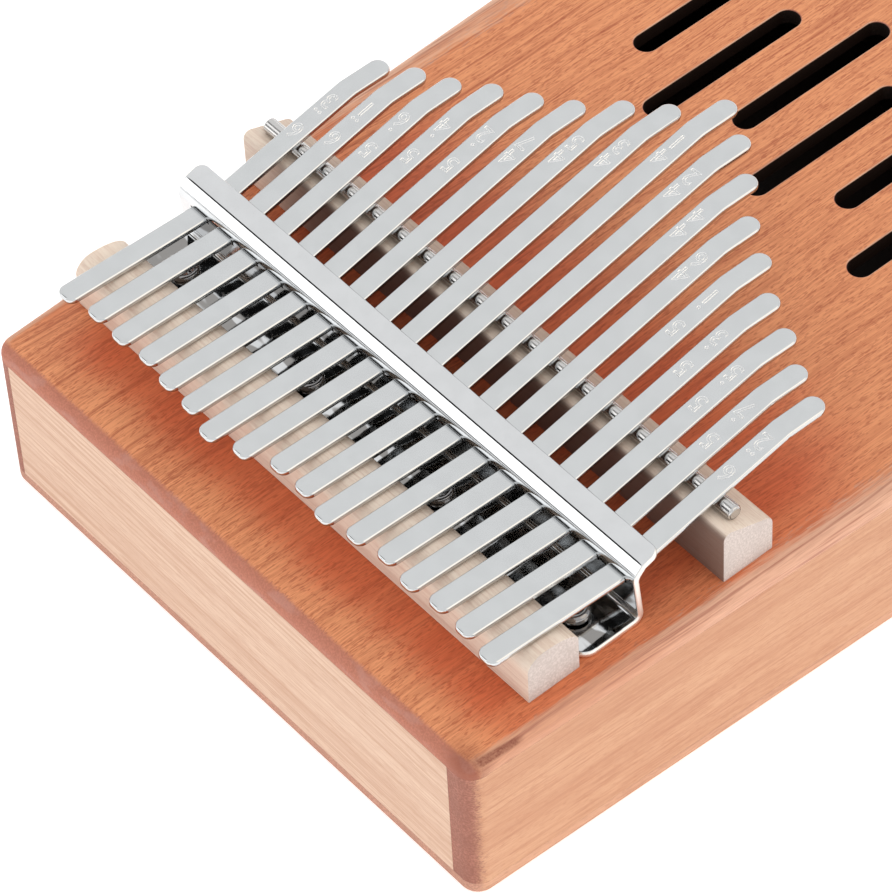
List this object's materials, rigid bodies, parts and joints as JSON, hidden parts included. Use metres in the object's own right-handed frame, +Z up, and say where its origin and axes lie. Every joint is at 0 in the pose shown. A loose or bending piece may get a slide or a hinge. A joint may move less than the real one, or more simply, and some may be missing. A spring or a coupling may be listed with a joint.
{
  "type": "mbira",
  "caption": "Wedge-shaped wooden sound box with a slotted soundboard, two bridges and a bent chrome bracket that holds a row of flat sprung tines.",
  "frame": {"origin": "centre of the footprint, on the surface that the box stands on", "axes": "+Y from the tail end to the front end (the way the tine tips point), +Z up through the soundboard, +X across the tines, to the right for someone who looks along +Y"},
  "size_m": [0.1466, 0.186, 0.0623],
  "materials": {
    "soundboard_wood": "satin orange-red hardwood, grain along the tines",
    "side_wood": "satin light orange-brown hardwood",
    "end_wood": "satin pale pinkish hardwood",
    "back_wood": "satin hardwood",
    "brace_wood": "sawn softwood",
    "bridge_wood": "bare pale hardwood",
    "rod_steel": "bright drawn steel",
    "bracket_chrome": "polished chrome",
    "screw_steel": "plated steel",
    "tine_steel": "satin chrome on spring steel"
  },
  "bodies": {
    "box": {"soundboard": "soundboard_wood", "back_plate": "back_wood", "left_side_board": "side_wood", "right_side_board": "side_wood", "tail_end_board": "end_wood", "front_end_board": "end_wood", "bridge_brace": "brace_wood", "rear_bridge": "bridge_wood", "front_bridge": "bridge_wood", "bridge_rod": "rod_steel", "tine_bracket": "bracket_chrome", "bracket_screw_1": "screw_steel", "bracket_screw_2": "screw_steel", "bracket_screw_3": "screw_steel", "bracket_screw_4": "screw_steel"},
    "tine_01": {"tine_01": "tine_steel"},
    "tine_02": {"tine_02": "tine_steel"},
    "tine_03": {"tine_03": "tine_steel"},
    "tine_04": {"tine_04": "tine_steel"},
    "tine_05": {"tine_05": "tine_steel"},
    "tine_06": {"tine_06": "tine_steel"},
    "tine_07": {"tine_07": "tine_steel"},
    "tine_08": {"tine_08": "tine_steel"},
    "tine_09": {"tine_09": "tine_steel"},
    "tine_10": {"tine_10": "tine_steel"},
    "tine_11": {"tine_11": "tine_steel"},
    "tine_12": {"tine_12": "tine_steel"},
    "tine_13": {"tine_13": "tine_steel"},
    "tine_14": {"tine_14": "tine_steel"},
    "tine_15": {"tine_15": "tine_steel"},
    "tine_16": {"tine_16": "tine_steel"},
    "tine_17": {"tine_17": "tine_steel"}
  },
  "joints": [
    {"name": "tine_01_spring", "type": "hinge", "parent": "box", "child": "tine_01", "pos_m": [-0.0565, -0.02938, 0.05086], "axis": [1, 0, 0], "range_deg": [-0.8, 0], "stiffness_Nm_per_rad": 11.54},
    {"name": "tine_02_spring", "type": "hinge", "parent": "box", "child": "tine_02", "pos_m": [-0.04944, -0.02938, 0.05086], "axis": [1, 0, 0], "range_deg": [-0.8, 0], "stiffness_Nm_per_rad": 10.13},
    {"name": "tine_03_spring", "type": "hinge", "parent": "box", "child": "tine_03", "pos_m": [-0.04238, -0.02938, 0.05086], "axis": [1, 0, 0], "range_deg": [-0.8, 0], "stiffness_Nm_per_rad": 9.18},
    {"name": "tine_04_spring", "type": "hinge", "parent": "box", "child": "tine_04", "pos_m": [-0.03531, -0.02938, 0.05086], "axis": [1, 0, 0], "range_deg": [-0.8, 0], "stiffness_Nm_per_rad": 8.06},
    {"name": "tine_05_spring", "type": "hinge", "parent": "box", "child": "tine_05", "pos_m": [-0.02825, -0.02938, 0.05086], "axis": [1, 0, 0], "range_deg": [-0.8, 0], "stiffness_Nm_per_rad": 7.3},
    {"name": "tine_06_spring", "type": "hinge", "parent": "box", "child": "tine_06", "pos_m": [-0.02119, -0.02938, 0.05086], "axis": [1, 0, 0], "range_deg": [-0.8, 0], "stiffness_Nm_per_rad": 6.62},
    {"name": "tine_07_spring", "type": "hinge", "parent": "box", "child": "tine_07", "pos_m": [-0.01413, -0.02938, 0.05086], "axis": [1, 0, 0], "range_deg": [-0.8, 0], "stiffness_Nm_per_rad": 5.8},
    {"name": "tine_08_spring", "type": "hinge", "parent": "box", "child": "tine_08", "pos_m": [-0.00706, -0.02938, 0.05086], "axis": [1, 0, 0], "range_deg": [-0.8, 0], "stiffness_Nm_per_rad": 5.26},
    {"name": "tine_09_spring", "type": "hinge", "parent": "box", "child": "tine_09", "pos_m": [0, -0.02938, 0.05086], "axis": [1, 0, 0], "range_deg": [-0.8, 0], "stiffness_Nm_per_rad": 4.61},
    {"name": "tine_10_spring", "type": "hinge", "parent": "box", "child": "tine_10", "pos_m": [0.00706, -0.02938, 0.05086], "axis": [1, 0, 0], "range_deg": [-0.8, 0], "stiffness_Nm_per_rad": 4.91},
    {"name": "tine_11_spring", "type": "hinge", "parent": "box", "child": "tine_11", "pos_m": [0.01413, -0.02938, 0.05086], "axis": [1, 0, 0], "range_deg": [-0.8, 0], "stiffness_Nm_per_rad": 5.41},
    {"name": "tine_12_spring", "type": "hinge", "parent": "box", "child": "tine_12", "pos_m": [0.02119, -0.02938, 0.05086], "axis": [1, 0, 0], "range_deg": [-0.8, 0], "stiffness_Nm_per_rad": 6.14},
    {"name": "tine_13_spring", "type": "hinge", "parent": "box", "child": "tine_13", "pos_m": [0.02825, -0.02938, 0.05086], "axis": [1, 0, 0], "range_deg": [-0.8, 0], "stiffness_Nm_per_rad": 6.76},
    {"name": "tine_14_spring", "type": "hinge", "parent": "box", "child": "tine_14", "pos_m": [0.03531, -0.02938, 0.05086], "axis": [1, 0, 0], "range_deg": [-0.8, 0], "stiffness_Nm_per_rad": 7.68},
    {"name": "tine_15_spring", "type": "hinge", "parent": "box", "child": "tine_15", "pos_m": [0.04238, -0.02938, 0.05086], "axis": [1, 0, 0], "range_deg": [-0.8, 0], "stiffness_Nm_per_rad": 8.44},
    {"name": "tine_16_spring", "type": "hinge", "parent": "box", "child": "tine_16", "pos_m": [0.04944, -0.02938, 0.05086], "axis": [1, 0, 0], "range_deg": [-0.8, 0], "stiffness_Nm_per_rad": 9.59},
    {"name": "tine_17_spring", "type": "hinge", "parent": "box", "child": "tine_17", "pos_m": [0.0565, -0.02938, 0.05086], "axis": [1, 0, 0], "range_deg": [-0.8, 0], "stiffness_Nm_per_rad": 10.55}
  ]
}
